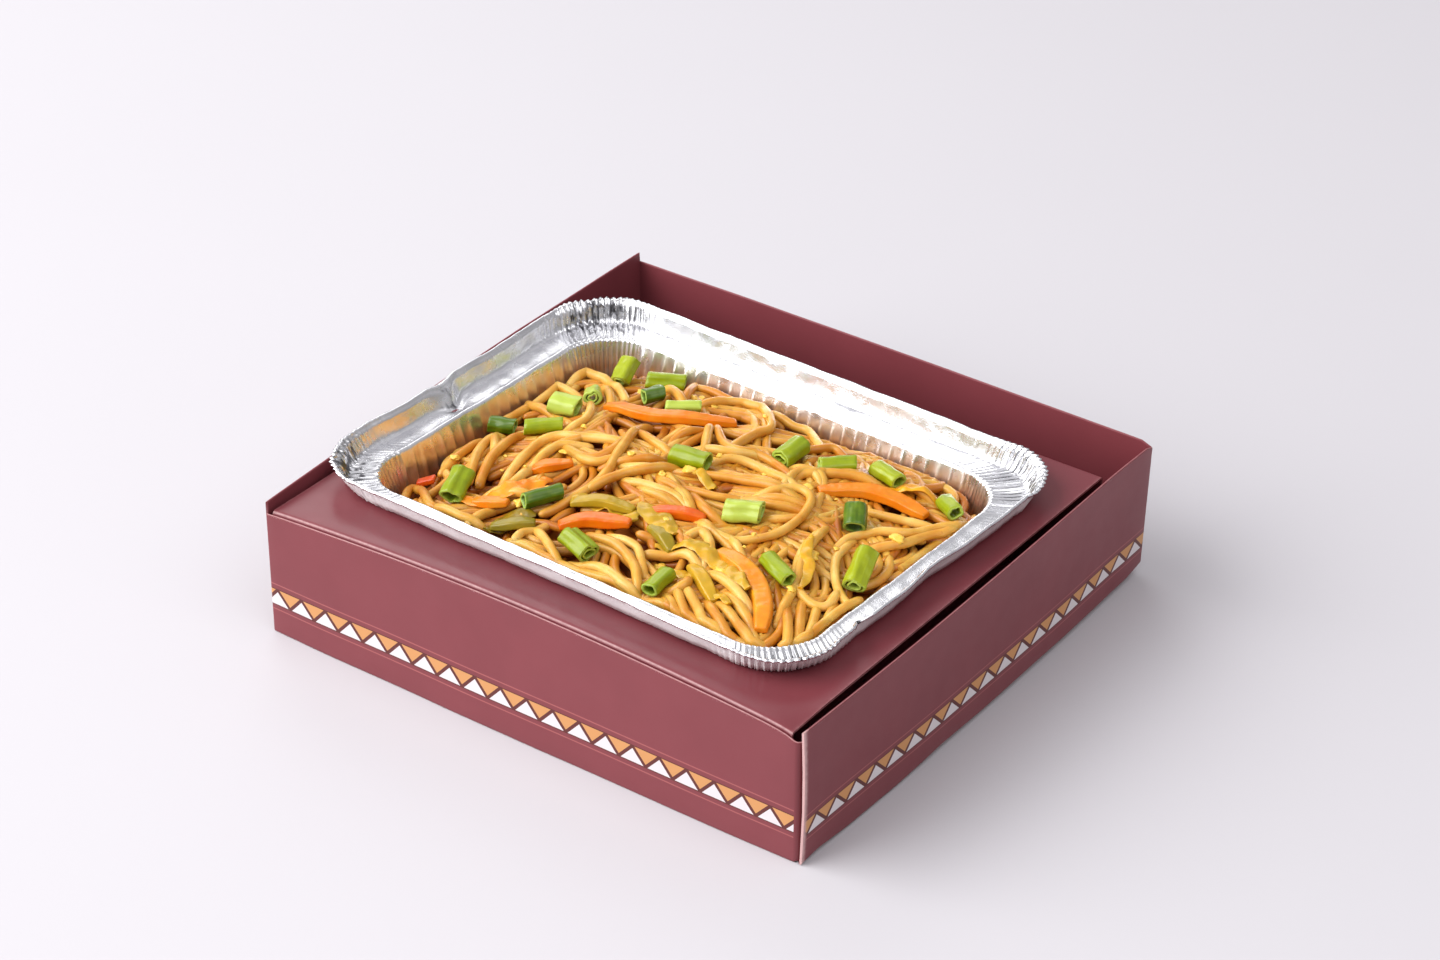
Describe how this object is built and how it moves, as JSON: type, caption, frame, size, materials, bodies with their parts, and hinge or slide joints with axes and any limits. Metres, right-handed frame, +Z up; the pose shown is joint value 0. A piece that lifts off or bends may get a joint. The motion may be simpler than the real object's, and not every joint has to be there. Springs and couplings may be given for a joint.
{
  "type": "noodle takeaway box",
  "caption": "Low square board carton with a raised shelf, carrying a foil tray heaped with noodles, spring onion, carrot and pepper.",
  "frame": {"origin": "middle of the carton's underside, at the middle of the part's box", "axes": "+X along the carton's longer side, -Y towards the printed front wall, +Z up"},
  "size_m": [0.2198, 0.2064, 0.0575],
  "materials": {
    "carton": "satin printed board, dark maroon",
    "deck": "satin printed board, dark maroon",
    "tray": "bright thin foil",
    "noodles": "oily cooked noodle",
    "onion": "fresh green",
    "carrot": "moist orange",
    "pepper": "moist dull olive"
  },
  "bodies": {
    "root": {"carton": "carton", "deck": "deck", "tray": "tray", "noodles": "noodles", "onion_01": "onion", "onion_02": "onion", "onion_03": "onion", "onion_04": "onion", "onion_05": "onion", "onion_06": "onion", "onion_07": "onion", "onion_08": "onion", "onion_09": "onion", "onion_10": "onion", "onion_11": "onion", "onion_12": "onion", "onion_13": "onion", "onion_14": "onion", "onion_15": "onion", "onion_16": "onion", "onion_17": "onion", "onion_18": "onion", "onion_19": "onion", "onion_20": "onion", "onion_21": "onion", "carrot_01": "carrot", "carrot_02": "carrot", "carrot_03": "carrot", "carrot_04": "carrot", "carrot_05": "carrot", "carrot_06": "carrot", "carrot_07": "carrot", "carrot_08": "carrot", "pepper_01": "pepper", "pepper_02": "pepper", "pepper_03": "pepper", "pepper_04": "pepper"}
  },
  "joints": []
}
